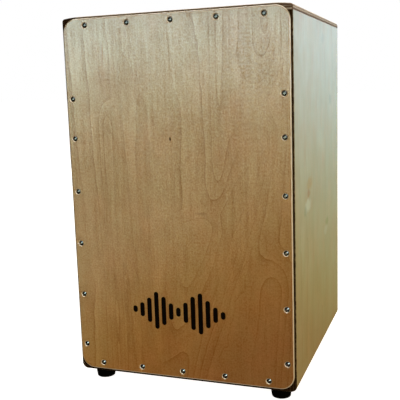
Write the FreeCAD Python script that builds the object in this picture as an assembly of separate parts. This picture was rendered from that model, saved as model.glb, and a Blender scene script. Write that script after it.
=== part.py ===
import FreeCAD, Part
import math
import os

# Cajon: a plywood box drum.  Millimetres.
# Origin: centre of the footprint on the floor.  -Y is the playing face, +X is the right side
# seen from the front, +Z is up.

V = FreeCAD.Vector

# ---------------------------------------------------------------- driving dimensions
BODY_W = 300.0            # width over the side panels
BODY_D = 320.0            # depth of the body without the playing face
BODY_H = 470.0            # height of the body without the feet
FOOT_H = 15.0
BOARD_T = 9.0             # top, bottom and side panels, five plies of 1.8
TAPA_T = 3.0
BACK_T = 4.0
BATTEN = 18.0             # square section of the frame battens

TAPA_W = 295.0
TAPA_Z0 = 3.7             # lower edge of the tapa above the body's underside
TAPA_Z1 = 467.5           # upper edge of the tapa above the body's underside
TAPA_CORNER_R = 18.0
TAPA_EDGE_R = 1.6

EDGE_R = 2.2              # front and rear outline of the body
TOP_SIDE_R = 4.0          # upper long edges
SEAT_FALL = 2.0           # how far the seat falls away towards its long edges
SEAT_FALL_W = 24.0        # width of that eased strip
BOTTOM_SIDE_R = 8.0       # lower long edges

SCREW_HEAD_R = 3.1
SCREW_SINK = 0.8          # rim of the head below the face, in a wider countersink
SCREW_SHANK_R = 1.5
SCREW_PROUD = 0.12        # crown of the oval head above the face
SCREW_X = 139.2           # side rows
SCREW_ROW_X = (-116.4, -58.2, 0.0, 58.2, 116.4)
SCREW_LOW_X = (-115.2, -57.6, 0.0, 57.6, 115.2)
SCREW_TOP_Z = 458.8
SCREW_BOTTOM_Z = 12.5
SCREW_SIDE_Z = (37.0, 107.0, 177.0, 246.5, 316.0, 367.0)
SCREW_LEN = 17.5

HOLE_R = 60.0             # sound hole
HOLE_Z = 300.0            # its centre above the floor
BACK_SCREW_X = 132.0

FOOT_X = 125.0
FOOT_Y = 137.0
FOOT_TOP_R = 14.0
FOOT_BOTTOM_R = 12.2
FOOT_RECESS_R = 6.0
FOOT_RECESS_D = 8.0

TUNER_X = 40.0
TUNER_Y = -149.5
BOLT_R = 2.5              # M5
BOLT_HEAD_R = 4.25
BOLT_HEAD_H = 4.9
BOLT_TOP_Z = 84.0
HEX_AF = 4.0
THREAD_RUNNING = 0.05     # radial clearance of the carrier on the bolt
CARRIER_Z0 = 62.0
CARRIER_Z1 = 68.0
CARRIER_HALF_X = 8.0
CARRIER_Y0 = -157.6
CARRIER_Y1 = -144.5
STRING_R = 0.6
STRING_OFF = 4.5          # string position either side of the bolt axis
STRING_Y_LOW = -156.2
STRING_Y_TOP = -157.3
STRING_TOP_X = (60.0, 80.0)   # inner and outer string
BALL_R = 1.9
SLOT_HALF = 1.25
PLATE_T = 1.5
PLATE_Z0 = 448.6          # underside of the anchor plate's lip
PLATE_X = (50.0, 90.0)
PLATE_SCREW_X = (56.0, 84.0)
PLATE_SCREW_Z = 466.5
BAR_Z0 = 112.0
BAR_Z1 = 130.0

# ---------------------------------------------------------------- derived
FRONT = -(BODY_D + TAPA_T) / 2.0          # outer face of the tapa
BODY_F = FRONT + TAPA_T                   # front plane of the body
REAR = (BODY_D + TAPA_T) / 2.0            # rear plane of the body
Z0 = FOOT_H
Z1 = FOOT_H + BODY_H
HX = BODY_W / 2.0
IX = HX - BOARD_T                         # inner face of the side panels
ZB = Z0 + BOARD_T                         # upper face of the bottom board
ZT = Z1 - BOARD_T                         # lower face of the top board

os.makedirs("parts", exist_ok=True)


def box(x0, x1, y0, y1, z0, z1):
    return Part.makeBox(x1 - x0, y1 - y0, z1 - z0, V(x0, y0, z0))


def cyl(r, p, d, h):
    return Part.makeCylinder(r, h, p, d)


def edges_where(shape, test):
    out = []
    for e in shape.Edges:
        b = e.BoundBox
        if test(b):
            out.append(e)
    return out


def near(a, b):
    return abs(a - b) < 1e-4


def save(name, shape):
    if isinstance(shape, list):
        shape = Part.makeCompound(shape)
    solids = shape.Solids
    for s in solids:
        if not s.isValid() or s.Volume <= 0:
            raise SystemExit("bad solid in " + name)
    shape = solids[0] if len(solids) == 1 else Part.makeCompound(solids)
    shape.exportStep("parts/" + name + ".step")
    print("%-28s solids %2d  volume %.1f" % (name, len(solids), sum(s.Volume for s in solids)))


def turned(points, arcs=()):
    """Solid of revolution about Z from (r, z) points that start and end on the axis."""
    edges = []
    n = len(points)
    for i in range(n - 1):
        a = V(points[i][0], 0, points[i][1])
        b = V(points[i + 1][0], 0, points[i + 1][1])
        mid = dict(arcs).get(i)
        if mid:
            edges.append(Part.Arc(a, V(mid[0], 0, mid[1]), b).toShape())
        else:
            edges.append(Part.LineSegment(a, b).toShape())
    edges.append(Part.LineSegment(V(points[-1][0], 0, points[-1][1]), V(points[0][0], 0, points[0][1])).toShape())
    face = Part.Face(Part.Wire(edges))
    s = face.revolve(V(0, 0, 0), V(0, 0, 1), 360)
    if s.ShapeType != "Solid":
        s = s.Solids[0]
    if s.Volume < 0:
        s.reverse()
    return s


def place(shape, p, direction):
    """Copy of a shape turned so that its +Z points along direction, then moved to p."""
    s = shape.copy()
    rot = FreeCAD.Rotation(V(0, 0, 1), V(*direction))
    s.Placement = FreeCAD.Placement(V(*p), rot)
    return s


# ---------------------------------------------------------------- fasteners
def cross_recess(width, length, depth, top):
    """Cross recess cutter that enters from z = top downwards (towards -Z)."""
    a = box(-length / 2, length / 2, -width / 2, width / 2, top - depth, top + 2)
    b = box(-width / 2, width / 2, -length / 2, length / 2, top - depth, top + 2)
    c = Part.makeCone(width * 0.55, length * 0.36, depth + 0.35, V(0, 0, top - depth - 0.35 + 0.02), V(0, 0, 1))
    return a.fuse(b).fuse(c).removeSplitter()


def oval_screw(head_r, shank_r, proud, sink, length, cross_w=0.8, cross_l=3.7, cross_d=1.35):
    """Countersunk oval-head wood screw; z = 0 is the surface plane, the rim of the head lies below it and its crown just above."""
    h = head_r - shank_r                       # 90 degree head
    pts = [(0, proud), (head_r, -sink), (shank_r, -sink - h), (shank_r, -(length - 2.6)), (0, -length)]
    s = turned(pts, [(0, (head_r * 0.52, proud - 0.27 * (proud + sink)))])
    return s.cut(cross_recess(cross_w, cross_l, cross_d, proud + 0.02))


def pan_screw(head_r, head_h, shank_r, length, cross_w=0.9, cross_l=3.4, cross_d=1.3):
    """Pan-head screw; z = 0 is the seat of the head, which stands above it."""
    pts = [(0, head_h), (head_r * 0.72, head_h * 0.86), (head_r, head_h * 0.35), (head_r, 0), (shank_r, 0),
           (shank_r, -(length - 2.0)), (0, -length)]
    s = turned(pts, [(0, (head_r * 0.38, head_h * 0.965)), (1, (head_r * 0.93, head_h * 0.66))])
    return s.cut(cross_recess(cross_w, cross_l, cross_d, head_h + 0.02))


screw = oval_screw(SCREW_HEAD_R, SCREW_SHANK_R, SCREW_PROUD, SCREW_SINK, SCREW_LEN)

front_positions = [(x, Z0 + SCREW_TOP_Z) for x in SCREW_ROW_X]
front_positions += [(x, Z0 + SCREW_BOTTOM_Z) for x in SCREW_LOW_X]
for z in SCREW_SIDE_Z:
    front_positions += [(-SCREW_X, Z0 + z), (SCREW_X, Z0 + z)]

# every screw stands with its recess turned a little differently, close to an upright X
front_screws = []
for i, (x, z) in enumerate(front_positions):
    s = screw.copy()
    s.rotate(V(0, 0, 0), V(0, 0, 1), 34 + (i * 37) % 23)
    front_screws.append(place(s, (x, FRONT, z), (0, -1, 0)))

rear_positions = [(x, z) for z in (ZT - BATTEN / 2, ZB + BATTEN / 2) for x in (-BACK_SCREW_X, -66.0, 0.0, 66.0, BACK_SCREW_X)]
rear_positions += [(s * BACK_SCREW_X, z) for z in (141.5, 250.0, 358.5) for s in (-1, 1)]
rear_screws = []
for i, (x, z) in enumerate(rear_positions):
    s = screw.copy()
    s.rotate(V(0, 0, 0), V(0, 0, 1), (i * 53) % 90)
    rear_screws.append(place(s, (x, REAR, z), (0, 1, 0)))


def shank_cut(shape, positions, y_surface, inward):
    """Blind pilot holes that the screw shanks fill."""
    for x, z in positions:
        core = turned([(0, 5), (SCREW_SHANK_R, 5), (SCREW_SHANK_R, -(SCREW_LEN - 2.6)), (0, -SCREW_LEN)])
        c = place(core, (x, y_surface, z), (0, -inward, 0))
        b = c.BoundBox
        if shape.BoundBox.intersect(b):
            shape = shape.cut(c)
    return shape


def countersunk(shape, positions, y_surface, inward, thickness):
    """Clearance holes with a 90 degree countersink."""
    r_top = SCREW_HEAD_R + SCREW_SINK + 0.15
    r_hole = SCREW_SHANK_R + 0.2
    d = r_top - r_hole
    for x, z in positions:
        core = turned([(0, 1.0), (r_top, 1.0), (r_top, 0), (r_hole, -d), (r_hole, -(thickness + 1)), (0, -(thickness + 1))])
        shape = shape.cut(place(core, (x, y_surface, z), (0, -inward, 0)))
    return shape


# ---------------------------------------------------------------- body panels
# seat: flat in the middle, eased down by a long gentle arc at each side, then rounded over
ease_r = (SEAT_FALL_W ** 2 + SEAT_FALL ** 2) / (2 * SEAT_FALL)
cx, cz = HX - SEAT_FALL_W, Z1 - ease_r          # centre of the gentle arc
# the small round is tangent to the gentle arc (inside it) and to the side face
rx = HX - TOP_SIDE_R
rz = cz + math.sqrt((ease_r - TOP_SIDE_R) ** 2 - (rx - cx) ** 2)
ux, uz = (rx - cx) / (ease_r - TOP_SIDE_R), (rz - cz) / (ease_r - TOP_SIDE_R)
t1 = (rx + TOP_SIDE_R * ux, rz + TOP_SIDE_R * uz)
a_mid = 0.5 * math.atan2(ux, uz)
g_mid = (cx + ease_r * math.sin(a_mid), cz + ease_r * math.cos(a_mid))
b_mid = 0.5 * (math.atan2(uz, ux))
s_mid = (rx + TOP_SIDE_R * math.cos(b_mid), rz + TOP_SIDE_R * math.sin(b_mid))


def p3(x, z):
    return V(x, BODY_F, z)


edges = [Part.LineSegment(p3(-HX, ZT), p3(HX, ZT)).toShape(),
         Part.LineSegment(p3(HX, ZT), p3(HX, rz)).toShape(),
         Part.Arc(p3(HX, rz), p3(*s_mid), p3(*t1)).toShape(),
         Part.Arc(p3(*t1), p3(*g_mid), p3(cx, Z1)).toShape(),
         Part.LineSegment(p3(cx, Z1), p3(-cx, Z1)).toShape(),
         Part.Arc(p3(-cx, Z1), p3(-g_mid[0], g_mid[1]), p3(-t1[0], t1[1])).toShape(),
         Part.Arc(p3(-t1[0], t1[1]), p3(-s_mid[0], s_mid[1]), p3(-HX, rz)).toShape(),
         Part.LineSegment(p3(-HX, rz), p3(-HX, ZT)).toShape()]
top = Part.Face(Part.Wire(edges)).extrude(V(0, BODY_D, 0))
print("seat edge: small round starts %.2f below the top" % (Z1 - t1[1]))
for yy in (BODY_F, REAR):
    top = top.makeFillet(EDGE_R, edges_where(top, lambda b: near(b.YMin, yy) and near(b.YMax, yy) and not (near(b.ZMin, ZT) and near(b.ZMax, ZT))))
save("top_board", top)


def side_panel(sign):
    x_out = sign * HX
    x_in = sign * IX
    p = box(min(x_out, x_in), max(x_out, x_in), BODY_F, REAR, Z0, ZT)
    p = p.makeFillet(BOTTOM_SIDE_R, edges_where(p, lambda b: near(b.ZMin, Z0) and near(b.ZMax, Z0) and near(b.XMin, x_out) and near(b.XMax, x_out)))
    for yy in (BODY_F, REAR):
        p = p.makeFillet(EDGE_R, edges_where(p, lambda b: near(b.YMin, yy) and near(b.YMax, yy)
                                             and not (near(b.XMin, x_in) and near(b.XMax, x_in))
                                             and not (near(b.ZMin, ZT) and near(b.ZMax, ZT))))
    return p


save("left_side_panel", side_panel(-1))
save("right_side_panel", side_panel(1))

bottom = box(-IX, IX, BODY_F, REAR, Z0, ZB)
for yy in (BODY_F, REAR):
    bottom = bottom.makeFillet(EDGE_R, edges_where(bottom, lambda b: near(b.YMin, yy) and near(b.YMax, yy) and near(b.ZMin, Z0) and near(b.ZMax, Z0)))
foot_centres = [(sx * FOOT_X, sy * FOOT_Y) for sy in (-1, 1) for sx in (-1, 1)]
for fx, fy in foot_centres:
    bottom = bottom.cut(cyl(2.0, V(fx, fy, Z0 - 1), V(0, 0, 1), 9.0))
WASHER_Z1 = Z0 + 6.5
for s in (-1, 1):
    bottom = bottom.cut(cyl(4.8, V(s * TUNER_X, TUNER_Y, Z0 - 1), V(0, 0, 1), 7.5))
    bottom = bottom.cut(cyl(BOLT_R + 0.3, V(s * TUNER_X, TUNER_Y, Z0), V(0, 0, 1), BOARD_T + 1))
save("bottom_board", bottom)

# ---------------------------------------------------------------- tapa and back panel
tapa = box(-TAPA_W / 2, TAPA_W / 2, FRONT, BODY_F, Z0 + TAPA_Z0, Z0 + TAPA_Z1)
tapa = tapa.makeFillet(TAPA_CORNER_R, edges_where(tapa, lambda b: near(b.YMin, FRONT) and near(b.YMax, BODY_F)))
tapa = tapa.makeFillet(TAPA_EDGE_R, edges_where(tapa, lambda b: near(b.YMin, FRONT) and near(b.YMax, FRONT)))
tapa = countersunk(tapa, front_positions, FRONT, 1, TAPA_T)
save("tapa", tapa)
save("tapa_screws", front_screws)

back = box(-IX, IX, REAR - BACK_T, REAR, ZB, ZT)
back = back.cut(cyl(HOLE_R, V(0, REAR - BACK_T - 1, HOLE_Z), V(0, 1, 0), BACK_T + 2))
back = countersunk(back, rear_positions, REAR, -1, BACK_T)
save("back_panel", back)
save("back_panel_screws", rear_screws)

# ---------------------------------------------------------------- frames
for label, y0, y1, positions, surf, inward in (("front", BODY_F, BODY_F + BATTEN, front_positions, FRONT, 1),
                                               ("rear", REAR - BACK_T - BATTEN, REAR - BACK_T, rear_positions, REAR, -1)):
    b_top = box(-IX, IX, y0, y1, ZT - BATTEN, ZT)
    b_bottom = box(-IX, IX, y0, y1, ZB, ZB + BATTEN)
    b_left = box(-IX, -IX + BATTEN, y0, y1, ZB + BATTEN, ZT - BATTEN)
    b_right = box(IX - BATTEN, IX, y0, y1, ZB + BATTEN, ZT - BATTEN)
    if label == "front":
        for s in (-1, 1):
            b_bottom = b_bottom.cut(cyl(BOLT_R + 0.3, V(s * TUNER_X, TUNER_Y, ZB - 1), V(0, 0, 1), BATTEN + 2))
            for o in (-14.5, 14.5):
                b_bottom = b_bottom.cut(cyl(1.25, V(s * TUNER_X + o, TUNER_Y, ZB + BATTEN - 10), V(0, 0, 1), 12))
            for xs in PLATE_SCREW_X:
                b_top = b_top.cut(cyl(1.25, V(s * xs, BODY_F + BATTEN + 1, PLATE_SCREW_Z), V(0, -1, 0), 10.5))
    for nm, b in (("top", b_top), ("bottom", b_bottom), ("left", b_left), ("right", b_right)):
        save("%s_batten_%s" % (label, nm), shank_cut(b, positions, surf, inward))

# ---------------------------------------------------------------- feet
foot = turned([(0, 0), (FOOT_BOTTOM_R - 1.2, 0), (FOOT_BOTTOM_R, 1.2), (FOOT_TOP_R, FOOT_H - 1.0), (FOOT_TOP_R - 0.6, FOOT_H), (0, FOOT_H)],
              [(1, (FOOT_BOTTOM_R - 0.35, 0.35))])
foot = foot.cut(cyl(FOOT_RECESS_R, V(0, 0, -1), V(0, 0, 1), FOOT_RECESS_D + 1))
foot = foot.cut(cyl(2.2, V(0, 0, 0), V(0, 0, 1), FOOT_H + 1))
f_screw = pan_screw(4.0, 2.8, 2.0, 14.0, 1.1, 4.4, 1.5)
f_screws, f_washers = [], []
for (fx, fy), nm in zip(foot_centres, ("front_left", "front_right", "rear_left", "rear_right")):
    f = foot.copy()
    f.translate(V(fx, fy, 0))
    save("rubber_foot_" + nm, f)
    w = cyl(5.5, V(fx, fy, FOOT_RECESS_D - 1.0), V(0, 0, 1), 1.0).cut(cyl(2.1, V(fx, fy, FOOT_RECESS_D - 2), V(0, 0, 1), 3))
    f_washers.append(w)
    s = place(f_screw, (fx, fy, FOOT_RECESS_D - 1.0), (0, 0, -1))
    f_screws.append(s)
save("foot_washers", f_washers)
save("foot_screws", f_screws)

# ---------------------------------------------------------------- snare tuners
bolt = turned([(0, Z0 + 0.3), (BOLT_HEAD_R - 0.5, Z0 + 0.3), (BOLT_HEAD_R, Z0 + 0.8), (BOLT_HEAD_R, Z0 + 0.3 + BOLT_HEAD_H),
               (BOLT_R, Z0 + 0.3 + BOLT_HEAD_H), (BOLT_R, BOLT_TOP_Z - 0.8), (BOLT_R - 0.8, BOLT_TOP_Z), (0, BOLT_TOP_Z)])
hexa = Part.Face(Part.makePolygon([V(HEX_AF / math.sqrt(3) * math.cos(math.radians(a)), HEX_AF / math.sqrt(3) * math.sin(math.radians(a)), Z0 - 1)
                                   for a in range(0, 361, 60)])).extrude(V(0, 0, 4.0))
bolt = bolt.cut(hexa)

nut_z0 = ZB + BATTEN + 1.5 + 0.3
NUT_H = 4.7
nut = Part.Face(Part.makePolygon([V(8.0 / math.sqrt(3) * math.cos(math.radians(a)), 8.0 / math.sqrt(3) * math.sin(math.radians(a)), nut_z0)
                                  for a in range(0, 361, 60)])).extrude(V(0, 0, NUT_H))
nut = nut.common(turned([(0, nut_z0), (4.05, nut_z0), (4.7, nut_z0 + 0.5), (4.7, nut_z0 + 3.4), (4.0, nut_z0 + 3.9), (3.6, nut_z0 + NUT_H), (0, nut_z0 + NUT_H)]))
nut = nut.cut(cyl(BOLT_R, V(0, 0, nut_z0 - 1), V(0, 0, 1), NUT_H + 2))

washer = cyl(4.6, V(0, 0, WASHER_Z1 - 1.0), V(0, 0, 1), 1.0).cut(cyl(BOLT_R + 0.3, V(0, 0, WASHER_Z1 - 2), V(0, 0, 1), 3))

carrier = box(-CARRIER_HALF_X, CARRIER_HALF_X, CARRIER_Y0 - TUNER_Y, CARRIER_Y1 - TUNER_Y, CARRIER_Z0, CARRIER_Z1)
carrier = carrier.makeFillet(1.0, edges_where(carrier, lambda b: near(b.ZMin, CARRIER_Z0) and near(b.ZMax, CARRIER_Z1)))
carrier = carrier.cut(cyl(BOLT_R + THREAD_RUNNING, V(0, 0, CARRIER_Z0 - 1), V(0, 0, 1), 10))
for o in (-STRING_OFF, STRING_OFF):
    carrier = carrier.cut(box(o - SLOT_HALF, o + SLOT_HALF, CARRIER_Y0 - TUNER_Y - 1, STRING_Y_LOW - TUNER_Y, CARRIER_Z0 - 1, CARRIER_Z1 + 1))
    carrier = carrier.cut(cyl(SLOT_HALF, V(o, STRING_Y_LOW - TUNER_Y, CARRIER_Z0 - 1), V(0, 0, 1), 10))

BR_T = 1.5
br_z0 = ZB + BATTEN
gap = CARRIER_HALF_X + 0.35
bracket = box(-19.0, 19.0, -7.0, 7.0, br_z0, br_z0 + BR_T)
bracket = bracket.makeFillet(3.0, edges_where(bracket, lambda b: near(b.ZMin, br_z0) and near(b.ZMax, br_z0 + BR_T)))
for s in (-1, 1):
    x0, x1 = sorted((s * gap, s * (gap + BR_T)))
    cheek = box(x0, x1, -6.0, 6.0, br_z0, 80.0)
    cheek = cheek.makeFillet(3.0, edges_where(cheek, lambda b: near(b.ZMin, 80.0) and near(b.ZMax, 80.0) and near(b.YMin, b.YMax)))
    bracket = bracket.fuse(cheek)
bracket = bracket.cut(cyl(BOLT_R + 0.5, V(0, 0, br_z0 - 1), V(0, 0, 1), 4))
for o in (-14.5, 14.5):
    bracket = bracket.cut(cyl(1.4, V(o, 0, br_z0 - 1), V(0, 0, 1), 4))
bracket = bracket.removeSplitter()

b_screw = pan_screw(2.7, 1.9, 1.25, 10.5, 0.7, 2.8, 1.0)

carrier_mid = (CARRIER_Z0 + CARRIER_Z1) / 2.0
z_low = CARRIER_Z0 - BALL_R                 # centre of the lower ball, against the carrier
z_top = PLATE_Z0 + PLATE_T + BALL_R         # centre of the upper ball, on the anchor plate
plate_mid = PLATE_Z0 + PLATE_T / 2.0


def on_line(x_c, x_t, z):
    """x of a string at height z: it passes x_c at the carrier's middle and x_t at the plate's middle."""
    return x_c + (x_t - x_c) * (z - carrier_mid) / (plate_mid - carrier_mid)


def string_solid(x_c, x_t):
    """Wound string: a straight strand with a ball end at each end."""
    a = V(on_line(x_c, x_t, z_low), STRING_Y_LOW, z_low)
    b = V(on_line(x_c, x_t, z_top), STRING_Y_TOP, z_top)
    d = b.sub(a)
    strand = cyl(STRING_R, a, d, d.Length)
    s = strand
    for p, dy in ((a, 0.0), (b, 0.9)):
        s = s.fuse(cyl(BALL_R, V(p.x, p.y - 1.0 + dy, p.z), V(0, 1, 0), 3.0))
    return s.Solids[0]


washers, b_screws, a_screws = [], [], []
for side, s in (("left", -1), ("right", 1)):
    at = V(s * TUNER_X, TUNER_Y, 0)
    for nm, shp in (("tuner_bolt", bolt), ("tuner_locknut", nut), ("string_carrier", carrier), ("tuner_bracket", bracket)):
        c = shp.copy()
        c.translate(at)
        save("%s_%s" % (nm, side), c)
    w = washer.copy()
    w.translate(at)
    washers.append(w)
    for o in (-14.5, 14.5):
        b_screws.append(place(b_screw, (s * TUNER_X + o, TUNER_Y, br_z0 + BR_T), (0, 0, 1)))
    # angle plate behind the top batten; its lip reaches forward under the batten and holds the upper ball ends
    x0, x1 = sorted((s * PLATE_X[0], s * PLATE_X[1]))
    y_b = BODY_F + BATTEN
    plate = box(x0, x1, y_b, y_b + PLATE_T, PLATE_Z0, ZT - 2.0)
    plate = plate.fuse(box(x0, x1, STRING_Y_TOP - 0.6, y_b + PLATE_T, PLATE_Z0, PLATE_Z0 + PLATE_T)).removeSplitter()
    plate = plate.makeFillet(1.4, edges_where(plate, lambda b: near(b.YMin, y_b + PLATE_T) and near(b.YMax, y_b + PLATE_T) and near(b.ZMin, PLATE_Z0) and near(b.ZMax, PLATE_Z0)))
    plate = plate.makeFillet(4.0, edges_where(plate, lambda b: near(b.ZMin, ZT - 2.0) and near(b.ZMax, ZT - 2.0) and near(b.XMin, b.XMax)))
    for xs in PLATE_SCREW_X:
        plate = plate.cut(cyl(1.4, V(s * xs, y_b - 1, PLATE_SCREW_Z), V(0, 1, 0), 4))
        a_screws.append(place(b_screw, (s * xs, y_b + PLATE_T, PLATE_SCREW_Z), (0, 1, 0)))
    for nm, off, xt in (("inner", -s * STRING_OFF, STRING_TOP_X[0]), ("outer", s * STRING_OFF, STRING_TOP_X[1])):
        plate = plate.cut(box(s * xt - SLOT_HALF, s * xt + SLOT_HALF, STRING_Y_TOP - 3, STRING_Y_TOP + 0.6, PLATE_Z0 - 1, PLATE_Z0 + PLATE_T + 1))
        plate = plate.cut(cyl(SLOT_HALF, V(s * xt, STRING_Y_TOP + 0.6, PLATE_Z0 - 1), V(0, 0, 1), 4))
        save("snare_string_%s_%s" % (side, nm), string_solid(s * TUNER_X + off, s * xt))
    save("string_anchor_plate_" + side, plate)
save("tuner_washers", washers)
save("bracket_screws", b_screws)
save("string_anchor_screws", a_screws)

# ---------------------------------------------------------------- bar that keeps the strings close to the tapa
bar = box(-IX + BATTEN, IX - BATTEN, -153.0, -142.0, BAR_Z0, BAR_Z1)
save("string_bar", bar)
felt = box(-70.0, 70.0, -155.0, -153.0, BAR_Z0 + 2, BAR_Z1 - 2)
felt = felt.makeFillet(0.8, edges_where(felt, lambda b: near(b.YMin, -155.0) and near(b.YMax, -155.0)))
save("string_bar_felt", felt)
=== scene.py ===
import bpy
import bmesh
import math
from mathutils import Vector, Matrix


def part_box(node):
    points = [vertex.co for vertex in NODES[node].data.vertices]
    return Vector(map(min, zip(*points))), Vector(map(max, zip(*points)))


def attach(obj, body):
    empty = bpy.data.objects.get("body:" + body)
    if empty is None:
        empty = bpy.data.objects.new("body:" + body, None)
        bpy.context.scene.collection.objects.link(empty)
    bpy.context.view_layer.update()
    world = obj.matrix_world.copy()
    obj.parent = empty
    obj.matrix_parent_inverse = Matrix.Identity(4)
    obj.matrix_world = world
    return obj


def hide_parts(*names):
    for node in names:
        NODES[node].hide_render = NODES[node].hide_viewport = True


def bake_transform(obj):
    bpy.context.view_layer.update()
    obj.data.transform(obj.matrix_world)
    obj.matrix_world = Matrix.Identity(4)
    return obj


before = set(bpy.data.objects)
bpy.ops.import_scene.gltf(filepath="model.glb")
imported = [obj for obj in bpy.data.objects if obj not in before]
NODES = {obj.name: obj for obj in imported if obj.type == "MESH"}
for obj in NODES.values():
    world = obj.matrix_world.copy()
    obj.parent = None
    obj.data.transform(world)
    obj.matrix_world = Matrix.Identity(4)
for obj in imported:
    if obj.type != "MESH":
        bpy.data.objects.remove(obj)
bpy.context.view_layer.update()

MM = 0.001

# ------------------------------------------------------------------ places taken from the frame
TAPA_LO, TAPA_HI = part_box("tapa")
TOP_LO, TOP_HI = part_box("top_board")
BOT_LO, BOT_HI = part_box("bottom_board")
SIDE_LO, SIDE_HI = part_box("right_side_panel")
BACK_LO, BACK_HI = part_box("back_panel")
FRONT_Y = TAPA_LO[1]             # face of the tapa
BODY_F = TOP_LO[1]               # front plane of the body
REAR_Y = TOP_HI[1]
TOP_Z = TOP_HI[2]
LOW_Z = BOT_LO[2]
HALF_W = TOP_HI[0]


# ------------------------------------------------------------------ node helpers
class Tree:
    """Short hand for building one material out of nodes."""

    def __init__(self, name):
        self.mat = bpy.data.materials.new(name)
        self.mat.use_nodes = True
        self.nt = self.mat.node_tree
        self.nt.nodes.clear()
        self.out = self.node("ShaderNodeOutputMaterial")
        self.bsdf = self.node("ShaderNodeBsdfPrincipled")
        self.link(self.bsdf.outputs[0], self.out.inputs["Surface"])
        tc = self.node("ShaderNodeTexCoord")
        self.P = tc.outputs["Object"]
        self.Nrm = tc.outputs["Normal"]

    def node(self, kind, **kw):
        n = self.nt.nodes.new(kind)
        for k, v in kw.items():
            setattr(n, k, v)
        return n

    def link(self, a, b):
        self.nt.links.new(a, b)

    def put(self, socket, v):
        if isinstance(v, bpy.types.NodeSocket):
            self.link(v, socket)
        elif v is not None:
            if hasattr(socket.default_value, "__len__") and not hasattr(v, "__len__"):
                v = (v,) * len(socket.default_value)
            if hasattr(socket.default_value, "__len__") and len(socket.default_value) == 4 and len(v) == 3:
                v = (*v, 1.0)
            socket.default_value = v

    def m(self, op, a, b=None, c=None, clamp=False):
        n = self.node("ShaderNodeMath", operation=op, use_clamp=clamp)
        for s, v in zip(n.inputs, (a, b, c)):
            if v is not None:
                self.put(s, v)
        return n.outputs[0]

    def add(self, a, b): return self.m("ADD", a, b)
    def sub(self, a, b): return self.m("SUBTRACT", a, b)
    def mul(self, a, b): return self.m("MULTIPLY", a, b)
    def pw(self, a, b): return self.m("POWER", a, b)
    def absv(self, a): return self.m("ABSOLUTE", a)

    def v(self, op, a, b=None, scale=None):
        n = self.node("ShaderNodeVectorMath", operation=op)
        self.put(n.inputs[0], a)
        if b is not None:
            self.put(n.inputs[1], b)
        if scale is not None:
            self.put(n.inputs["Scale"], scale)
        return n.outputs["Value"] if op in ("LENGTH", "DOT_PRODUCT", "DISTANCE") else n.outputs["Vector"]

    def sep(self, a):
        n = self.node("ShaderNodeSeparateXYZ")
        self.put(n.inputs[0], a)
        return n.outputs[0], n.outputs[1], n.outputs[2]

    def comb(self, x, y, z):
        n = self.node("ShaderNodeCombineXYZ")
        for s, v in zip(n.inputs, (x, y, z)):
            self.put(s, v)
        return n.outputs[0]

    def noise(self, vec, scale=1.0, detail=2.0, rough=0.5, distortion=0.0):
        n = self.node("ShaderNodeTexNoise", noise_dimensions="3D")
        self.put(n.inputs["Vector"], vec)
        n.inputs["Scale"].default_value = scale
        n.inputs["Detail"].default_value = detail
        n.inputs["Roughness"].default_value = rough
        n.inputs["Distortion"].default_value = distortion
        return n.outputs[0]

    def smooth(self, x, lo, hi, a=0.0, b=1.0):
        n = self.node("ShaderNodeMapRange", interpolation_type="SMOOTHSTEP")
        self.put(n.inputs["Value"], x)
        n.inputs["From Min"].default_value = lo
        n.inputs["From Max"].default_value = hi
        n.inputs["To Min"].default_value = a
        n.inputs["To Max"].default_value = b
        return n.outputs[0]

    def lin(self, x, lo, hi, a=0.0, b=1.0):
        n = self.node("ShaderNodeMapRange", interpolation_type="LINEAR", clamp=True)
        self.put(n.inputs["Value"], x)
        n.inputs["From Min"].default_value = lo
        n.inputs["From Max"].default_value = hi
        n.inputs["To Min"].default_value = a
        n.inputs["To Max"].default_value = b
        return n.outputs[0]

    def mix(self, fac, a, b, blend="MIX"):
        n = self.node("ShaderNodeMix", data_type="RGBA", blend_type=blend, clamp_factor=True)
        self.put(n.inputs["Factor"], fac)
        self.put(n.inputs[6], a)
        self.put(n.inputs[7], b)
        return n.outputs[2]

    def mixf(self, fac, a, b):
        n = self.node("ShaderNodeMix", data_type="FLOAT", clamp_factor=True)
        self.put(n.inputs["Factor"], fac)
        self.put(n.inputs[2], a)
        self.put(n.inputs[3], b)
        return n.outputs[0]

    def bump(self, height, distance, strength=1.0, normal=None):
        n = self.node("ShaderNodeBump")
        n.inputs["Strength"].default_value = strength
        n.inputs["Distance"].default_value = distance
        self.put(n.inputs["Height"], height)
        if normal is not None:
            self.link(normal, n.inputs["Normal"])
        return n.outputs[0]

    def finish(self, base, rough=0.5, metallic=0.0, normal=None, **fixed):
        b = self.bsdf
        self.put(b.inputs["Base Color"], base)
        self.put(b.inputs["Roughness"], rough)
        b.inputs["Metallic"].default_value = metallic
        if normal is not None:
            self.link(normal, b.inputs["Normal"])
        for k, v in fixed.items():
            s = b.inputs[k.replace("_", " ")]
            s.default_value = v
        return self.mat


def assign(mat, *names):
    for n in names:
        o = NODES[n]
        o.data.materials.clear()
        o.data.materials.append(mat)


# ------------------------------------------------------------------ wood
def spot(t, c, g, c0, g0, rc, rg, wob=None):
    """Soft elliptical mark round (c0, g0) with radii rc and rg."""
    a = t.m("DIVIDE", t.sub(c, c0), rc)
    b = t.m("DIVIDE", t.sub(g, g0), rg)
    r = t.m("SQRT", t.add(t.mul(a, a), t.mul(b, b)))
    if wob is not None:
        r = t.add(r, wob)
    return t.smooth(r, 1.0, 0.3)


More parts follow.
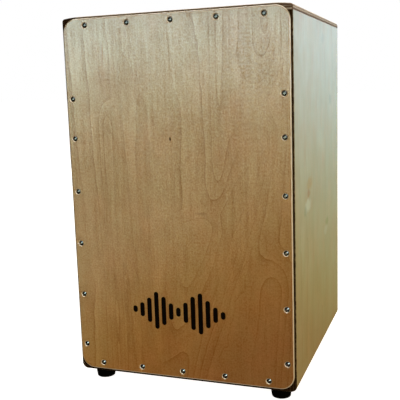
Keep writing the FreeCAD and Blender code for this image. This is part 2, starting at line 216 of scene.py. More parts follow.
def arch(t, c, g, c0, lean, s, g0, soft, height):
    """One cathedral in the figure: growth lines wrap round an axis at c0 that ends near g0.  soft > 0: open upwards."""
    u = t.m("DIVIDE", t.sub(t.sub(c, c0), t.mul(t.sub(g, g0), lean)), s)
    bell = t.m("POWER", 2.71828, t.mul(t.mul(u, u), -1.0))
    along = t.smooth(g, g0 - abs(soft), g0 + abs(soft), 0.0, 1.0) if soft > 0 else t.smooth(g, g0 - abs(soft), g0 + abs(soft), 1.0, 0.0)
    return t.mul(t.mul(bell, along), height)


def wood(name, thick, grain, w0, plies, pale, deep, seed=0.0, rings=48.0, swirl=3.0, line=0.16, arches=(), marks=None, rims=(),
         rough=0.36, coat=0.85, coat_rough=0.20, spec=0.06, mottle=1.0, edge_long=None, edge_end=None, face_at=(0.62, 0.90),
         veil_tone=0.9, veil_grain=0.85, bevel_coat=0.0, side_coat=0.0, corner_shade=False, cloud=0.0,
         tint=(0.55, 0.85, 1.2), veil_patch=0.0, slow_amount=0.26, grit=0.95, lean=0.0):
    """Plywood as a solid: thick and grain are axis numbers, w0 the coordinate of the outermost ply's lower face and plies the
    thickness of each ply in turn.  The broad faces show flat-cut veneer, the edges show the plies, long grain and end grain."""
    t = Tree(name)
    cross = ({0, 1, 2} - {thick, grain}).pop()
    P = t.sep(t.P)
    N = t.sep(t.Nrm)
    c, g, w = P[cross], P[grain], P[thick]
    q = t.comb(t.add(c, seed * 1.37), t.add(g, seed * 2.11), t.mul(w, 0.6))

    def at(sc, sg, sw=40.0):
        return t.v("MULTIPLY", q, (sc, sg, sw))

    # growth lines: level lines of a slow drift, sharp on one side and soft on the other
    drift = t.sub(t.noise(at(6.0, 1.5, 6.0), 1.0, 2.0, 0.45), 0.5)
    shake = t.sub(t.noise(at(30.0, 13.0, 6.0), 1.0, 3.0, 0.6), 0.5)
    T = t.add(t.add(t.mul(c, rings), t.mul(drift, swirl)), t.mul(shake, 0.6))
    for ar in arches:
        T = t.add(T, arch(t, c, g, *ar))
    fr = t.m("FRACT", t.add(T, 100.0))
    fr2 = t.m("FRACT", t.add(t.add(t.mul(T, 2.6), t.mul(shake, 1.5)), 100.37))
    patch = t.noise(at(11.0, 5.0, 6.0), 1.0, 2.0, 0.55)
    patch2 = t.noise(at(17.0, 7.0, 9.0), 1.0, 2.0, 0.55)
    vary = t.lin(patch, 0.38, 0.62, 0.12, 1.0)
    vary2 = t.lin(patch2, 0.45, 0.66, 0.0, 1.0)
    lines = t.add(t.mul(t.mul(t.pw(fr, 15.0), 0.85), vary), t.mul(t.mul(t.pw(fr, 3.5), 0.30), vary))
    fine = t.mul(t.pw(fr2, 12.0), vary2)
    bright = t.mul(t.smooth(fr, 0.40, 0.0), t.mul(vary, 0.075))

    # fibres, figure and slow colour change
    fib1 = t.sub(t.noise(at(620.0, 16.0, 500.0), 1.0, 2.0, 0.6), 0.5)
    fib2 = t.sub(t.noise(at(210.0, 5.0, 200.0), 1.0, 2.0, 0.6), 0.5)
    curl = t.sub(t.noise(at(85.0, 300.0, 60.0), 1.0, 2.0, 0.6), 0.5)
    salt = t.sub(t.noise(at(520.0, 420.0, 300.0), 1.0, 3.0, 0.7), 0.5)
    mott = t.sub(t.noise(at(70.0, 34.0, 30.0), 1.0, 3.0, 0.6), 0.5)
    slow = t.sub(t.noise(at(9.0, 4.6, 4.0), 1.0, 2.0, 0.5), 0.5)
    band = t.sub(t.noise(at(40.0, 1.4, 4.0), 1.0, 2.0, 0.5), 0.5)
    pores = t.smooth(t.noise(at(1500.0, 60.0, 1500.0), 1.0, 1.0, 0.5), 0.66, 0.80)

    tone = t.add(1.0, t.mul(fib1, 0.30 * mottle))
    for layer, amount in ((fib2, 0.22), (curl, 0.22), (salt, grit), (mott, 0.30), (band, 0.20), (slow, slow_amount)):
        tone = t.add(tone, t.mul(layer, amount * mottle))
    if cloud:                                       # soft patches where the veneer's fibres rise and dip
        tone = t.add(tone, t.mul(t.sub(t.noise(at(34.0, 24.0, 4.0), 1.0, 3.0, 0.62), 0.5), cloud))
        tone = t.add(tone, t.mul(t.sub(t.noise(at(120.0, 34.0, 9.0), 1.0, 2.0, 0.6), 0.5), cloud * 0.7))
    tone = t.add(tone, t.mul(bright, mottle))
    tone = t.sub(tone, t.mul(lines, line))
    tone = t.sub(tone, t.mul(fine, line * 0.45))
    tone = t.sub(tone, t.mul(pores, 0.05))
    hue = t.lin(t.add(t.mul(slow, 0.7), t.mul(t.noise(at(24.0, 15.0, 4.0), 1.0, 2.0, 0.5), 0.5)), 0.10, 0.40)
    face = t.mix(hue, pale, deep)
    warm = t.sub(t.noise(at(31.0, 19.0, 9.0), 1.0, 3.0, 0.6), 0.5)
    face = t.mix(t.lin(warm, 0.0, 0.22, 0.0, 0.6), face, tuple(x * k for x, k in zip(pale, (1.08, 0.92, 0.86))))
    face = t.mix(t.lin(warm, 0.0, -0.22, 0.0, 0.5), face, tuple(x * k for x, k in zip(pale, (0.90, 1.00, 0.96))))
    face = t.mix(t.mul(t.add(lines, fine), 0.5), face, tuple(x * k for x, k in zip(deep, (0.84, 0.74, 0.66))))
    wob = t.mul(t.sub(t.noise(at(150.0, 60.0, 60.0), 1.0, 3.0, 0.65), 0.5), 1.5)
    knots = None
    for (c0, g0, rc, rg, col, amount) in (marks or ()):
        here = t.mul(spot(t, c, g, c0, g0, rc, rg, wob), amount)
        face = t.mix(here, face, col)
        if col[0] < 0.2:
            knots = here if knots is None else t.add(knots, here)
    # darker wood is also redder: the blue falls faster than the red
    vary_by = t.sub(tone, 1.0)
    face = t.v("MULTIPLY", face, t.comb(t.add(1.0, t.mul(vary_by, tint[0])), t.add(1.0, t.mul(vary_by, tint[1])),
                                        t.add(1.0, t.mul(vary_by, tint[2]))))

    # edges: plies by thickness, every other one laid across
    depth = t.sub(w, w0)
    par, glue, run = None, None, 0.0
    for i, th in enumerate(plies[:-1]):
        run += th
        step = t.m("GREATER_THAN", depth, run)
        par = step if par is None else t.add(par, step)
        near_ = t.smooth(t.absv(t.sub(depth, run)), 0.16 * MM, 0.03 * MM)
        glue = near_ if glue is None else t.add(glue, near_)
    par = t.m("FLOORED_MODULO", par, 2.0)           # 0: laid like the face
    ng = t.absv(N[grain])
    nc = t.absv(N[cross])
    end = t.smooth(t.mixf(par, ng, nc), 0.35, 0.75)
    lay = t.noise(t.v("MULTIPLY", t.P, (200.0, 200.0, 200.0)), 1.0, 3.0, 0.6)
    cells = t.noise(t.v("MULTIPLY", t.P, (900.0, 900.0, 900.0)), 1.0, 2.0, 0.6)
    e_long = edge_long or tuple(x * k for x, k in zip(pale, (1.02, 0.95, 0.86)))
    e_end = edge_end or (0.15, 0.078, 0.034)
    ecol = t.mix(end, e_long, e_end)
    etone = t.add(t.add(0.80, t.mul(lay, 0.40)), t.mul(t.sub(cells, 0.5), 0.30))
    etone = t.sub(etone, t.mul(glue, 0.22))
    ecol = t.v("SCALE", ecol, scale=etone)
    on_face = t.smooth(t.absv(N[thick]), *face_at)
    col = t.mix(on_face, ecol, face)
    sheen = t.add(1.0, t.mul(vary_by, veil_tone))
    if lean:
        sheen = t.sub(sheen, t.mul(t.smooth(c, 0.05, 0.15), lean))
    if veil_patch:
        sheen = t.add(sheen, t.mul(t.sub(t.noise(at(13.0, 9.0, 4.0), 1.0, 3.0, 0.6), 0.5), veil_patch))
    if knots is not None:
        sheen = t.mul(sheen, t.sub(1.0, knots))
    sheen = t.add(sheen, t.mul(t.add(salt, t.mul(fib1, 0.6)), veil_grain))
    edge_coat = t.mul(t.smooth(t.absv(N[thick]), 0.25, 0.60), bevel_coat * coat)
    edge_coat = t.add(edge_coat, t.mul(t.sub(1.0, t.mul(end, 0.7)), side_coat))
    varnish = t.mixf(on_face, edge_coat, t.mul(sheen, coat))
    # edges darkened near the front and rear planes: router scorch, and painted shade in the gap round the tapa and
    # under the bottom edge, darkest where two boards meet the front
    char_and_shade = None
    for (axis, dark, clean, amount, tint) in rims:
        scorch_and_shade = t.smooth(t.add(P[axis], t.mul(t.sub(lay, 0.5), 0.0012)), clean, dark)
        if amount < 0:                              # only off the broad face
            scorch_and_shade = t.mul(scorch_and_shade, t.sub(1.0, on_face))
        scorch_and_shade = t.mul(scorch_and_shade, t.lin(lay, 0.30, 0.66, 1.0, 0.90))
        scorch_and_shade = t.mul(scorch_and_shade, abs(amount))
        col = t.mix(scorch_and_shade, col, tint)
        varnish = t.mul(varnish, t.sub(1.0, scorch_and_shade))
        char_and_shade = scorch_and_shade if char_and_shade is None else t.m("MAXIMUM", char_and_shade, scorch_and_shade)
    if corner_shade:                                      # painted shade: the left end of the top board's front edge, in the gap beside the tapa's corner, is painted near black
        scorch_and_shade = t.mul(t.smooth(P[0], -0.122, -0.134), t.smooth(P[1], BODY_F + 2.6 * MM, BODY_F + 1.2 * MM))
        col = t.mix(t.mul(scorch_and_shade, 0.97), col, SHADE_AND_SCORCH_BLACK)
        varnish = t.mul(varnish, t.sub(1.0, scorch_and_shade))
    height = t.add(t.add(t.mul(fib1, 0.5), t.mul(fib2, 0.4)), t.mul(pores, -0.4))
    height = t.mixf(on_face, t.add(t.mul(cells, 0.8), t.mul(glue, -0.6)), height)
    nrm = t.bump(height, 0.00010, 0.5)
    ro = t.add(rough, t.mul(mott, 0.12))
    ro = t.mixf(on_face, 0.85, ro)
    if char_and_shade is not None:
        ro = t.mixf(char_and_shade, ro, 1.0)
    t.link(t.bump(t.add(salt, t.mul(curl, 1.5)), 0.000020, 1.0), t.bsdf.inputs["Coat Normal"])
    t.link(varnish, t.bsdf.inputs["Coat Weight"])
    return t.finish(col, ro, 0.0, nrm, Coat_Roughness=coat_rough, Coat_IOR=1.5, IOR=1.5, Specular_IOR_Level=spec)


BIRCH_PALE = (0.74, 0.57, 0.29)
BIRCH_DEEP = (0.66, 0.485, 0.215)
TAPA_PALE = (0.50, 0.262, 0.088)
TAPA_DEEP = (0.455, 0.212, 0.057)
# painted shade: near black for the gaps round the tapa, the top board's left front corner and the bottom's lower
# rounding, with some router scorch on the front edges
SHADE_AND_SCORCH_BLACK = (0.016, 0.0055, 0.0012)
SCORCH = (0.055, 0.026, 0.011)

tapa_marks = [
    (-0.0928, 0.441, 0.0020, 0.011, (0.40, 0.13, 0.02), 0.80),     # mineral streak
    (-0.0938, 0.428, 0.0011, 0.006, (0.40, 0.13, 0.02), 0.60),
    (0.0320, 0.2370, 0.0100, 0.0026, (0.30, 0.11, 0.02), 0.45),    # brown fold under a cathedral's point
    (-0.0055, 0.3295, 0.0013, 0.0038, (0.02, 0.010, 0.006), 0.97),  # dark fleck
]
tapa_arches = [
    # c0, lean, width, end, softness, height
    (0.117, -0.02, 0.024, 0.395, 0.045, -2.6),
    (0.119, 0.0, 0.009, 0.445, 0.020, -1.1),
    (0.114, 0.35, 0.026, 0.345, -0.040, -2.7),
    (0.055, 0.03, 0.011, 0.262, 0.040, 1.3),
    (0.026, 0.0, 0.045, 0.228, -0.016, 1.6),
    (0.128, 0.10, 0.024, 0.175, -0.035, -2.5),
    (-0.092, 0.00, 0.011, 0.366, -0.024, 1.9),
    (-0.060, -0.02, 0.012, 0.150, 0.060, 1.0),
]
side_marks = [
    (-0.0700, 0.2640, 0.0210, 0.0120, (0.74, 0.40, 0.03), 0.85),
    (-0.0760, 0.2520, 0.0130, 0.0080, (0.62, 0.26, 0.00), 0.90),
    (-0.0800, 0.2370, 0.0260, 0.0110, (1.00, 0.95, 0.74), 0.75),
    (-0.0980, 0.2320, 0.0100, 0.0090, (0.36, 0.30, 0.10), 0.45),
    (0.0596, 0.1909, 0.0170, 0.0080, (0.42, 0.36, 0.05), 0.60),
    (0.0480, 0.1800, 0.0200, 0.0090, (0.88, 0.80, 0.54), 0.45),
    (0.0906, 0.3684, 0.0160, 0.0110, (0.36, 0.30, 0.13), 0.35),
    (0.0297, 0.4535, 0.0160, 0.0100, (0.36, 0.32, 0.15), 0.35),
]

PLY18 = [1.8 * MM] * 5
# the tapa's edge towards the body is painted near black: its dark rear ply plus painted shade of the gap behind it
m_tapa = wood("tapa_veneer", 1, 2, FRONT_Y, [1.0 * MM] * 3, TAPA_PALE, TAPA_DEEP, seed=3.3, rings=31.0, swirl=3.4, line=0.23,
              arches=tapa_arches, marks=tapa_marks, edge_long=(0.93, 0.79, 0.56), edge_end=(0.92, 0.77, 0.54), face_at=(0.955, 0.995), bevel_coat=1.1, veil_tone=1.5, veil_patch=0.75, slow_amount=0.10, grit=1.35, veil_grain=1.1, lean=0.12,
              rims=((1, FRONT_Y + 1.9 * MM, FRONT_Y + 1.2 * MM, -0.93, SHADE_AND_SCORCH_BLACK),))
assign(m_tapa, "tapa")
# painted shade: the body's front edges beside the tapa are painted near black for the gap's shade, with some router
# scorch
front_shade_and_scorch = (1, BODY_F + 0.7 * MM, BODY_F + 1.9 * MM, 0.99, SHADE_AND_SCORCH_BLACK)
rear_rim = (1, REAR_Y - 1.2 * MM, REAR_Y - 3.0 * MM, 0.75, SCORCH)
m_side_r = wood("side_plywood_right", 0, 2, HALF_W - 9 * MM, PLY18, BIRCH_PALE, BIRCH_DEEP, seed=1.7, rings=22.0, swirl=4.0, line=0.04,
                marks=side_marks, rims=(front_shade_and_scorch, rear_rim), mottle=0.7, cloud=0.60, veil_tone=1.1, veil_grain=0.6)
m_side_l = wood("side_plywood_left", 0, 2, -HALF_W, PLY18, BIRCH_PALE, BIRCH_DEEP, seed=5.1, rings=22.0, swirl=4.0, line=0.04,
                rims=(front_shade_and_scorch, rear_rim), mottle=0.7, cloud=0.30, veil_tone=0.9, veil_grain=0.5)
m_top = wood("top_plywood", 2, 1, TOP_Z - 9 * MM, [0.15 * MM, 2.1 * MM, 2.1 * MM, 0.6 * MM, 4.05 * MM], BIRCH_PALE, BIRCH_DEEP, seed=7.9,
             rings=40.0, swirl=4.0, line=0.10, mottle=0.9, edge_end=(0.20, 0.12, 0.070),
             edge_long=(0.62, 0.46, 0.30), side_coat=0.30,
             rims=((1, BODY_F + 0.9 * MM, BODY_F + 2.6 * MM, 0.40, SCORCH), (1, REAR_Y - 0.9 * MM, REAR_Y - 2.6 * MM, 0.55, SCORCH)),
             corner_shade=True)
# painted shade: the bottom board's lower rounding is painted near black for the shade under the box
m_bottom = wood("bottom_plywood", 2, 1, LOW_Z, PLY18, BIRCH_PALE, BIRCH_DEEP, seed=9.2, rings=40.0, swirl=4.0, line=0.10,
                rims=(front_shade_and_scorch, rear_rim, (2, LOW_Z + 6.2 * MM, LOW_Z + 8.2 * MM, -0.95, SHADE_AND_SCORCH_BLACK)), mottle=0.9, coat=0.5)
m_back = wood("back_plywood", 1, 2, BACK_LO[1], [4.0 / 3.0 * MM] * 3, BIRCH_PALE, BIRCH_DEEP, seed=12.4, rings=36.0, swirl=4.5, line=0.11,
              arches=[(0.05, 0.05, 0.030, 0.30, -0.08, 2.2), (-0.08, -0.03, 0.02, 0.20, 0.06, -1.8)], mottle=0.9)
assign(m_side_r, "right_side_panel")
assign(m_side_l, "left_side_panel")
assign(m_top, "top_board")
assign(m_bottom, "bottom_board")
assign(m_back, "back_panel")


def batten(name, grain, seed):
    """Planed softwood: straight growth lines, matt, end grain on the cut ends."""
    t = Tree(name)
    P = t.sep(t.P)
    N = t.sep(t.Nrm)
    others = [a for a in (0, 1, 2) if a != grain]
    u, v, g = P[others[0]], P[others[1]], P[grain]
    q = t.comb(t.add(u, seed), t.add(v, seed * 0.7), g)
    bow = t.noise(t.v("MULTIPLY", q, (9.0, 9.0, 2.2)), 1.0, 2.0, 0.5)
    r = t.m("SQRT", t.add(t.pw(t.add(u, 0.06 + seed * 0.01), 2.0), t.pw(t.add(v, 0.21), 2.0)))
    fr = t.m("FRACT", t.add(t.mul(r, 420.0), t.mul(bow, 4.0)))
    late = t.pw(fr, 4.0)
    fib = t.noise(t.v("MULTIPLY", q, (1300.0, 1300.0, 30.0)), 1.0, 2.0, 0.6)
    col = t.mix(late, (0.62, 0.43, 0.22), (0.40, 0.20, 0.08))
    col = t.v("SCALE", col, scale=t.add(0.86, t.mul(fib, 0.28)))
    endm = t.smooth(t.absv(N[grain]), 0.6, 0.9)
    col = t.v("SCALE", col, scale=t.sub(1.0, t.mul(endm, 0.35)))
    nrm = t.bump(t.add(t.mul(fib, 0.6), t.mul(late, 0.5)), 0.00015, 0.5)
    return t.finish(col, t.add(0.62, t.mul(fib, 0.15)), 0.0, nrm)


b_z = batten("batten_upright", 2, 0.013)
b_x = batten("batten_cross", 0, 0.031)
assign(b_z, "front_batten_left", "front_batten_right", "rear_batten_left", "rear_batten_right")
assign(b_x, "front_batten_top", "front_batten_bottom", "rear_batten_top", "rear_batten_bottom", "string_bar")


# ------------------------------------------------------------------ metal, rubber, felt
def metal(name, col, dark, rough, grime=0.0, scale=1200.0, metallic=1.0, aniso_axis=None):
    t = Tree(name)
    n1 = t.noise(t.v("MULTIPLY", t.P, (scale, scale, scale)), 1.0, 3.0, 0.6)
    n2 = t.noise(t.v("MULTIPLY", t.P, (180.0, 180.0, 180.0)), 1.0, 2.0, 0.5)
    c = t.mix(t.lin(n2, 0.35, 0.7), col, dark)
    nrm = t.bump(n1, 0.00003, 0.35)
    return t.finish(c, t.add(rough, t.mul(t.sub(n1, 0.5), 0.16)), metallic, nrm)


m_nickel = metal("nickel_screw", (0.30, 0.29, 0.28), (0.20, 0.19, 0.185), 0.28)


def glint_painted_head():
    """Screw heads of the front: a painted highlight, a bright diagonal band painted across a near-black dome, brighter
    on the lower screws.
    """
    t = Tree("tapa_screw_steel")
    P = t.sep(t.P)
    N = t.sep(t.Nrm)
    n1 = t.noise(t.v("MULTIPLY", t.P, (1200.0, 1200.0, 1200.0)), 1.0, 3.0, 0.6)
    n2 = t.noise(t.v("MULTIPLY", t.P, (35.0, 35.0, 35.0)), 1.0, 2.0, 0.5)
    # painted highlight: the dome is bright only where its normal points as far up as to the right, along the lower-left
    # to upper-right diagonal, and near black elsewhere
    off = t.absv(t.add(t.sub(N[2], N[0]), t.mul(t.sub(n2, 0.5), 0.25)))
    black = t.smooth(off, 0.07, 0.18)
    # the painted highlight is brighter on the lower screws and dimmer on the upper ones
    glint_by_height = t.lin(P[2], 0.06, 0.42, 0.20, 0.075)
    light = t.comb(glint_by_height, t.mul(glint_by_height, 0.97), t.mul(glint_by_height, 0.93))
    c = t.mix(black, light, (0.0045, 0.0042, 0.0040))
    c = t.v("SCALE", c, scale=t.add(0.8, t.mul(n1, 0.4)))
    return t.finish(c, t.add(0.22, t.mul(t.sub(n1, 0.5), 0.16)), 1.0, t.bump(n1, 0.00003, 0.35))


m_zinc = metal("zinc_steel", (0.66, 0.67, 0.68), (0.48, 0.49, 0.50), 0.36)
m_black = metal("black_oxide", (0.055, 0.055, 0.06), (0.03, 0.03, 0.033), 0.40)
m_brass = metal("machined_brass", (0.78, 0.58, 0.24), (0.58, 0.40, 0.15), 0.28)
m_bronze = metal("bronze_string", (0.70, 0.46, 0.22), (0.5, 0.3, 0.13), 0.30)
assign(glint_painted_head(), "tapa_screws")
assign(m_nickel, "back_panel_screws", "foot_screws", "foot_washers", "bracket_screws", "string_anchor_screws")
assign(m_zinc, "tuner_washers", "tuner_locknut_left", "tuner_locknut_right", "tuner_bracket_left", "tuner_bracket_right",
       "string_anchor_plate_left", "string_anchor_plate_right")
assign(m_black, "tuner_bolt_left", "tuner_bolt_right")
assign(m_brass, "string_carrier_left", "string_carrier_right")


def wound_string(name, node, x_c, x_t):
    """Bronze-wound strand with a spool at each end.  It stretches between the fixed plate above and the moving carrier below."""
    z_low, z_top = 0.0601, 0.4520
    y_low, y_top = -0.1562, -0.1573

    def on_line(z):
        return x_c + (x_t - x_c) * (z - 0.065) / (0.44935 - 0.065)

    lo = Vector((on_line(z_low), y_low, z_low))
    hi = Vector((on_line(z_top), y_top, z_top))
    axis = (hi - lo)
    length = axis.length
    axis.normalize()
    side = axis.cross(Vector((0, 1, 0))).normalized()
    front = side.cross(axis)
    pitch = 0.0008
    bm = bmesh.new()

    def lathe(stations, at, along, u, v, n):
        rings = []
        for d, r, twist, depth in stations:
            ring = []
            for k in range(n):
                a = 2 * math.pi * k / n
                rr = r + depth * math.cos(twist - a)
                ring.append(bm.verts.new(at + along * d + u * (rr * math.cos(a)) + v * (rr * math.sin(a))))
            rings.append(ring)
        for p, q in zip(rings[:-1], rings[1:]):
            for k in range(n):
                bm.faces.new((p[k], p[(k + 1) % n], q[(k + 1) % n], q[k]))
        bm.faces.new(list(reversed(rings[0])))
        bm.faces.new(rings[-1])

    steps = int(length / pitch * 4)
    stations = []
    for i in range(steps + 1):
        d = length * i / steps
        stations.append((d, 0.00051, 2 * math.pi * d / pitch, 0.00008))
    lathe(stations, lo, axis, side, front, 8)
    spool = [(0.0, 1.20), (0.0003, 1.70), (0.0007, 1.88), (0.0011, 1.80), (0.00135, 1.35), (0.00165, 1.35), (0.0019, 1.80), (0.0023, 1.88),
             (0.0027, 1.70), (0.0030, 1.20)]
    for p, dy in ((lo, -0.0010), (hi, -0.0001)):
        lathe([(d, r * MM, 0.0, 0.0) for d, r in spool], p + Vector((0, dy, 0)), Vector((0, 1, 0)), Vector((1, 0, 0)), Vector((0, 0, 1)), 20)
    bmesh.ops.recalc_face_normals(bm, faces=bm.faces)
    me = bpy.data.meshes.new(name)
    bm.to_mesh(me)
    bm.free()
    for p in me.polygons:
        p.use_smooth = True
    o = bpy.data.objects.new(name, me)
    bpy.context.scene.collection.objects.link(o)
    me.materials.append(m_bronze)
    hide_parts(node)
    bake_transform(o)
    return o


for sgn, lr in ((-1, "left"), (1, "right")):
    wound_string("wound_string_%s_inner" % lr, "snare_string_%s_inner" % lr, sgn * 0.040 - sgn * 0.0045, sgn * 0.060)
    wound_string("wound_string_%s_outer" % lr, "snare_string_%s_outer" % lr, sgn * 0.040 + sgn * 0.0045, sgn * 0.080)


def rubber():
    t = Tree("black_rubber")
    n1 = t.noise(t.v("MULTIPLY", t.P, (900.0, 900.0, 900.0)), 1.0, 3.0, 0.65)
    n2 = t.noise(t.v("MULTIPLY", t.P, (120.0, 120.0, 120.0)), 1.0, 2.0, 0.5)
    z = t.sep(t.P)[2]
    dust = t.mul(t.smooth(z, 0.0035, 0.0), 0.5)
    c = t.mix(t.lin(n2, 0.3, 0.7), (0.0030, 0.0030, 0.0030), (0.0060, 0.0056, 0.0052))
    c = t.mix(t.mul(dust, n1), c, (0.03, 0.028, 0.026))
    return t.finish(c, t.add(0.80, t.mul(n1, 0.2)), 0.0, t.bump(n1, 0.0001, 0.4), Specular_IOR_Level=0.0)


assign(rubber(), "rubber_foot_front_left", "rubber_foot_front_right", "rubber_foot_rear_left", "rubber_foot_rear_right")


def felt():
    t = Tree("wool_felt")
    n1 = t.noise(t.v("MULTIPLY", t.P, (1500.0, 1500.0, 1500.0)), 1.0, 4.0, 0.7)
    c = t.mix(n1, (0.02, 0.02, 0.022), (0.09, 0.088, 0.085))
    return t.finish(c, 0.95, 0.0, t.bump(n1, 0.0006, 0.9), Sheen_Weight=0.6, Sheen_Roughness=0.5)


assign(felt(), "string_bar_felt")


# ------------------------------------------------------------------ printed motif: a plain row of rounded bars
def ink():
    t = Tree("black_ink")
    n1 = t.noise(t.v("MULTIPLY", t.P, (1500.0, 10.0, 26.0)), 1.0, 2.0, 0.6)
    n2 = t.noise(t.v("MULTIPLY", t.P, (300.0, 10.0, 300.0)), 1.0, 3.0, 0.6)
    c = t.mix(n1, (0.004, 0.0035, 0.003), (0.012, 0.009, 0.007))
    return t.finish(c, t.add(0.38, t.mul(n2, 0.12)), 0.0, t.bump(n1, 0.0001, 0.3), Specular_IOR_Level=0.0)


def motif():
    heights = [9, 19, 33, 50, 38, 22, 12, 27, 44, 54, 36, 20, 10]
    x0, x1 = -63.5, 57.5
    zc = 107.5
    pitch = (x1 - x0) / (len(heights) - 1)
    half = pitch * 0.31
    bm = bmesh.new()
    y_face = FRONT_Y - 0.03 * MM
    y_back = FRONT_Y + 0.02 * MM
    for i, h in enumerate(heights):
        cx = (x0 + i * pitch)
        hh = max(h / 2.0, half + 0.2)
        ring = []
        seg = 10
        for k in range(seg + 1):
            a = math.pi * k / seg
            ring.append((cx + half * math.cos(a), zc + hh - half + half * math.sin(a)))
        for k in range(seg + 1):
            a = math.pi + math.pi * k / seg
            ring.append((cx + half * math.cos(a), zc - hh + half + half * math.sin(a)))
        front = [bm.verts.new((x * MM, y_face, z * MM)) for x, z in ring]
        back = [bm.verts.new((x * MM, y_back, z * MM)) for x, z in ring]
        bm.faces.new(front)
        bm.faces.new(list(reversed(back)))
        n = len(ring)
        for k in range(n):
            bm.faces.new((front[k], back[k], back[(k + 1) % n], front[(k + 1) % n]))
    bmesh.ops.recalc_face_normals(bm, faces=bm.faces)
    me = bpy.data.meshes.new("printed_motif")
    bm.to_mesh(me)
    bm.free()
    o = bpy.data.objects.new("printed_motif", me)
    bpy.context.scene.collection.objects.link(o)
    me.materials.append(ink())
    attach(o, "box")
    return o


motif()


# ------------------------------------------------------------------ stage
def stage():
    me = bpy.data.meshes.new("studio_floor")
    s = 30.0
    me.from_pydata([(-s, -s, 0), (s, -s, 0), (s, s, 0), (-s, s, 0)], [], [(0, 1, 2, 3)])
    o = bpy.data.objects.new("studio_floor", me)
    bpy.context.scene.collection.objects.link(o)
    mat = bpy.data.materials.new("studio_floor")
    mat.use_nodes = True
    nt = mat.node_tree
    nt.nodes.clear()
    out = nt.nodes.new("ShaderNodeOutputMaterial")
    add = nt.nodes.new("ShaderNodeAddShader")
    d = nt.nodes.new("ShaderNodeBsdfDiffuse")
    d.inputs[0].default_value = (0.9, 0.9, 0.9, 1)
    e = nt.nodes.new("ShaderNodeEmission")
    e.inputs[0].default_value = (0.955, 0.960, 0.970, 1)
    e.inputs[1].default_value = 1.0
    nt.links.new(d.outputs[0], add.inputs[0])
    nt.links.new(e.outputs[0], add.inputs[1])
    nt.links.new(add.outputs[0], out.inputs[0])
    me.materials.append(mat)
    o.visible_diffuse = False
    o.visible_glossy = False


stage()

# world: white for the eye, a warm even sky for the wood, and a cool tall window for the varnish
world = bpy.data.worlds.new("studio")
bpy.context.scene.world = world
world.use_nodes = True
wt = world.node_tree
wt.nodes.clear()


def wn(kind, **kw):
    n = wt.nodes.new(kind)
    for k, v in kw.items():
        setattr(n, k, v)
    return n


def wmath(op, a, b=None):
    n = wn("ShaderNodeMath", operation=op)
    for s, v in zip(n.inputs, (a, b)):
        if v is None:
            continue
        if isinstance(v, bpy.types.NodeSocket):
            wt.links.new(v, s)
        else:
            s.default_value = v
    return n.outputs[0]


def wsmooth(x, lo, hi, a=0.0, b=1.0):
    n = wn("ShaderNodeMapRange", interpolation_type="SMOOTHSTEP")
    wt.links.new(x, n.inputs["Value"])
    n.inputs["From Min"].default_value = lo
    n.inputs["From Max"].default_value = hi
    n.inputs["To Min"].default_value = a
    n.inputs["To Max"].default_value = b
    return n.outputs[0]


def wcolor(fac_socket, a, b):
    n = wn("ShaderNodeMix", data_type="RGBA")
    wt.links.new(fac_socket, n.inputs["Factor"])
    for s, v in ((n.inputs[6], a), (n.inputs[7], b)):
        if isinstance(v, bpy.types.NodeSocket):
            wt.links.new(v, s)
        else:
            s.default_value = (*v, 1.0)
    return n.outputs[2]


SKY = (0.25, 0.200, 0.132)          # even light on the wood
# (height of the mirrored ray, colour): what the varnish of the front mirrors, and of the sides at a shallow angle
FRONT_GLOSS = [(-0.420, (0.481, 0.202, 0.149)), (-0.340, (1.491, 0.313, 0.000)), (-0.270, (2.764, 2.079, 0.392)),
               (-0.210, (3.363, 3.132, 1.811)), (-0.149, (3.760, 3.912, 2.468)), (-0.089, (3.974, 4.386, 2.860)),
               (-0.029, (4.843, 5.689, 4.005)), (0.032, (7.639, 9.763, 8.134)), (0.092, (13.612, 18.646, 17.941)),
               (0.160, (3.400, 6.400, 8.000)), (0.380, (2.400, 3.000, 3.200)), (1.000, (1.600, 1.700, 1.700))]
REAR_GLOSS = [(-0.420, (0.100, 0.080, 0.030)), (-0.340, (0.101, 0.060, 0.008)), (-0.280, (0.195, 0.224, 0.091)),
              (-0.220, (0.264, 0.348, 0.208)), (-0.165, (0.330, 0.469, 0.337)), (-0.106, (0.427, 0.633, 0.545)),
              (-0.048, (0.567, 0.842, 0.827)), (0.011, (0.731, 1.075, 1.150)), (0.069, (0.908, 1.259, 1.394)),
              (0.150, (0.950, 1.300, 1.500)), (0.500, (1.100, 1.200, 1.250)), (1.000, (1.100, 1.100, 1.100))]


SIDE_GLOSS = [(-0.600, (0.200, 0.150, 0.100)), (-0.420, (1.200, 0.900, 0.500)), (-0.310, (5.500, 4.600, 3.200)),
              (-0.150, (6.400, 6.400, 5.800)), (-0.010, (6.000, 6.800, 7.000)), (0.070, (11.50, 13.00, 14.00)),
              (0.200, (4.500, 4.900, 5.200)), (0.700, (2.600, 2.700, 2.700))]
OVER_GLOSS = (9.000, 9.000, 8.200)
BACK_GLOSS = (1.500, 1.320, 1.020)   # behind and to the left, for the back panel
FLOOR_GLOSS = (1.250, 1.120, 0.900)  # the pale floor, mirrored from steep views


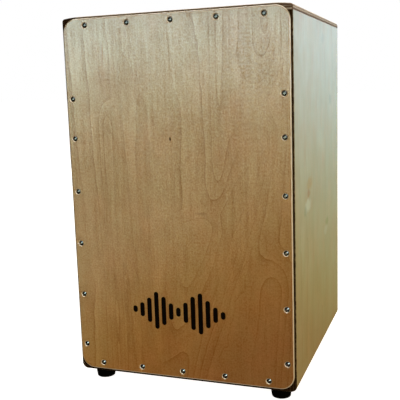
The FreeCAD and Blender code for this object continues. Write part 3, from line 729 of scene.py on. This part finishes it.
def ramp(sock, stops, peak):
    n = wn("ShaderNodeMapRange", clamp=True)
    wt.links.new(sock, n.inputs["Value"])
    lo, hi = stops[0][0], stops[-1][0]
    n.inputs["From Min"].default_value = lo
    n.inputs["From Max"].default_value = hi
    r = wn("ShaderNodeValToRGB")
    wt.links.new(n.outputs[0], r.inputs[0])
    cr = r.color_ramp
    while len(cr.elements) < len(stops):
        cr.elements.new(0.5)
    for e, (p, c) in zip(cr.elements, stops):
        e.position = (p - lo) / (hi - lo)
    for e, (p, c) in zip(cr.elements, stops):
        e.color = (c[0] / peak, c[1] / peak, c[2] / peak, 1.0)
    v = wn("ShaderNodeVectorMath", operation="SCALE")
    wt.links.new(r.outputs[0], v.inputs[0])
    v.inputs["Scale"].default_value = peak
    return v.outputs[0]


tc = wn("ShaderNodeTexCoord")
sx = wn("ShaderNodeSeparateXYZ")
wt.links.new(tc.outputs["Generated"], sx.inputs[0])
X, Y, Z = sx.outputs
rearness = wsmooth(Y, 0.05, 0.75)
tilt = wmath("SUBTRACT", 0.10, wmath("MULTIPLY", wmath("MINIMUM", wmath("MAXIMUM", Z, -0.4), 0.07), 1.4))
slant = wmath("SUBTRACT", Z, wmath("MULTIPLY", wmath("ADD", X, 0.35), tilt))
behind = wcolor(wsmooth(X, 0.05, -0.12), ramp(Z, REAR_GLOSS, 2.0), BACK_GLOSS)
gloss = wcolor(rearness, ramp(slant, FRONT_GLOSS, 16.0), behind)
window = ramp(Z, SIDE_GLOSS, 16.0)
rightness = wmath("MULTIPLY", wsmooth(X, 0.30, 0.62), wsmooth(Y, 0.42, 0.12))
gloss = wcolor(rightness, gloss, window)
overhead = wsmooth(Z, 0.60, 0.92)
gloss = wcolor(overhead, gloss, OVER_GLOSS)
gloss = wcolor(wsmooth(Z, -0.52, -0.78), gloss, FLOOR_GLOSS)
leftness = wsmooth(X, -0.58, -0.74)
gloss = wcolor(leftness, gloss, (0.05, 0.05, 0.05))
lp = wn("ShaderNodeLightPath")
lo = wcolor(wsmooth(Z, -0.6, 0.5), tuple(x * 0.15 for x in SKY), tuple(x * 0.24 for x in SKY))
hi = wcolor(wsmooth(Z, -0.6, 0.5), tuple(x * 1.35 for x in SKY), tuple(x * 2.16 for x in SKY))
diff = wcolor(wmath("MINIMUM", wmath("MAXIMUM", wmath("ADD", wmath("MULTIPLY", X, 0.5), 0.5), 0.0), 1.0), lo, hi)
env = wcolor(lp.outputs["Is Glossy Ray"], diff, gloss)
env = wcolor(lp.outputs["Is Camera Ray"], env, (1.0, 1.0, 1.0))
bg = wn("ShaderNodeBackground")
wt.links.new(env, bg.inputs[0])
bg.inputs[1].default_value = 1.0
wo = wn("ShaderNodeOutputWorld")
wt.links.new(bg.outputs[0], wo.inputs[0])


def area(name, loc, target, size, power, color, size_y=None, diffuse=True, glossy=True):
    l = bpy.data.lights.new(name, "AREA")
    l.energy = power
    l.color = color
    l.shape = "RECTANGLE"
    l.size = size
    l.size_y = size_y or size
    o = bpy.data.objects.new(name, l)
    bpy.context.scene.collection.objects.link(o)
    o.location = loc
    d = Vector(target) - Vector(loc)
    o.rotation_euler = d.to_track_quat("-Z", "Y").to_euler()
    o.visible_camera = False
    o.visible_diffuse = diffuse
    o.visible_glossy = glossy
    return o


area("key_right", (1.9, -1.7, 1.6), (0, 0, 0.25), 0.8, 9.0, (1.0, 0.86, 0.66), diffuse=True, glossy=True)
area("fill_back_left", (-1.75, 2.1, 1.35), (0, 0, 0.25), 1.5, 34.0, (1.0, 0.93, 0.80), diffuse=True, glossy=False)

# ------------------------------------------------------------------ camera
CAM_LOC = Vector((0.32732, -0.96673, 0.39047))
YAW, PITCH, ROLL = math.radians(-20.172), math.radians(-9.008), math.radians(-1.842)
F_PX = 702.5
fwd = Vector((math.sin(YAW) * math.cos(PITCH), math.cos(YAW) * math.cos(PITCH), math.sin(PITCH)))
right = fwd.cross(Vector((0, 0, 1))).normalized()
upv = right.cross(fwd)
r2 = math.cos(ROLL) * right + math.sin(ROLL) * upv
u2 = -math.sin(ROLL) * right + math.cos(ROLL) * upv
cam = bpy.data.cameras.new("camera")
cam.sensor_width = 36.0
cam.lens = F_PX / 400.0 * 36.0
cam.clip_start = 0.01
cam.clip_end = 100.0
co = bpy.data.objects.new("camera", cam)
bpy.context.scene.collection.objects.link(co)
co.matrix_world = Matrix(((r2.x, u2.x, -fwd.x, CAM_LOC.x), (r2.y, u2.y, -fwd.y, CAM_LOC.y), (r2.z, u2.z, -fwd.z, CAM_LOC.z), (0, 0, 0, 1)))
bpy.context.scene.camera = co

sc = bpy.context.scene
sc.view_settings.view_transform = "Standard"
sc.view_settings.look = "None"

bpy.context.view_layer.update()
